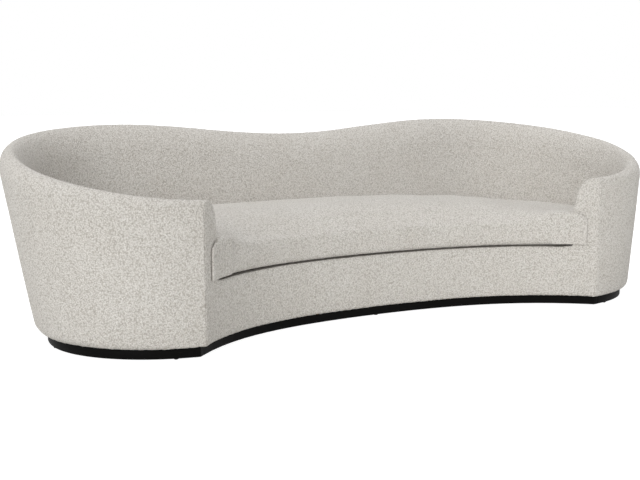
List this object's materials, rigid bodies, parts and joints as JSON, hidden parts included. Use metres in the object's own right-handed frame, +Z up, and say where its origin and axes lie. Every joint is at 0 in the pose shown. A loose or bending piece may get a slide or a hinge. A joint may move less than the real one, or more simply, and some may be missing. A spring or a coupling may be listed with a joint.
{
  "type": "curved sofa",
  "caption": "Curved sofa with a concave front, round ends, a flared wrap-around back with a rolled top, one loose bench cushion and a low black plinth.",
  "frame": {"origin": "on the floor, under the centre of the sofa's footprint box", "axes": "+X along the width, to the right of someone facing the sofa's front; the seat opens towards -Y; +Z up"},
  "size_m": [2.9234, 1.1269, 0.783],
  "materials": {
    "cover_fabric": "looped wool-blend upholstery cloth, oatmeal",
    "cushion_fabric": "looped wool-blend upholstery cloth, oatmeal",
    "black_lacquer": "black satin lacquer on plywood",
    "birch_plywood": "bare sanded plywood",
    "beech": "bare planed beech",
    "nylon": "moulded black nylon",
    "felt": "grey needled felt",
    "elastic_webbing": "woven elastic webbing",
    "cushion_foam": "open-cell seating foam",
    "zip_tape": "woven zip tape",
    "dust_cloth": "black non-woven cloth"
  },
  "bodies": {
    "frame": {"plinth_front": "black_lacquer", "plinth_left_end": "black_lacquer", "plinth_back": "black_lacquer", "plinth_right_end": "black_lacquer", "plinth_brace_left": "black_lacquer", "plinth_brace_right": "black_lacquer", "glide_1": "nylon", "glide_2": "nylon", "glide_3": "nylon", "glide_4": "nylon", "glide_5": "nylon", "glide_6": "nylon", "glide_7": "nylon", "glide_8": "nylon", "base_board_left": "birch_plywood", "base_board_right": "birch_plywood", "base_splice": "birch_plywood", "dust_cover": "dust_cloth", "rib_left_1": "birch_plywood", "rib_left_2": "birch_plywood", "rib_left_3": "birch_plywood", "rib_left_4": "birch_plywood", "rib_left_5": "birch_plywood", "rib_right_1": "birch_plywood", "rib_right_2": "birch_plywood", "rib_right_3": "birch_plywood", "rib_right_4": "birch_plywood", "rib_right_5": "birch_plywood", "rib_middle": "birch_plywood", "arm_post_left": "birch_plywood", "arm_post_right": "birch_plywood", "top_rail_left": "beech", "top_rail_back": "beech", "top_rail_right": "beech", "seat_rail_left": "birch_plywood", "seat_rail_back": "birch_plywood", "seat_rail_right": "birch_plywood", "front_rail": "birch_plywood", "seat_brace_1": "birch_plywood", "seat_brace_2": "birch_plywood", "seat_brace_3": "birch_plywood", "seat_brace_4": "birch_plywood", "webbing_left": "elastic_webbing", "webbing_middle": "elastic_webbing", "webbing_right": "elastic_webbing", "seat_platform": "felt", "inside_arm_pad_left": "cover_fabric", "inside_back_pad": "cover_fabric", "inside_arm_pad_right": "cover_fabric", "outside_arm_panel_left": "cover_fabric", "outside_back_panel": "cover_fabric", "outside_arm_panel_right": "cover_fabric", "front_panel": "cover_fabric"},
    "cushion": {"cushion_cover": "cushion_fabric", "cushion_zip": "zip_tape", "cushion_core": "cushion_foam"}
  },
  "joints": [
    {"name": "cushion_lift", "type": "slide", "parent": "frame", "child": "cushion", "axis": [0, 0, 1], "range_m": [0, 0.35]}
  ]
}
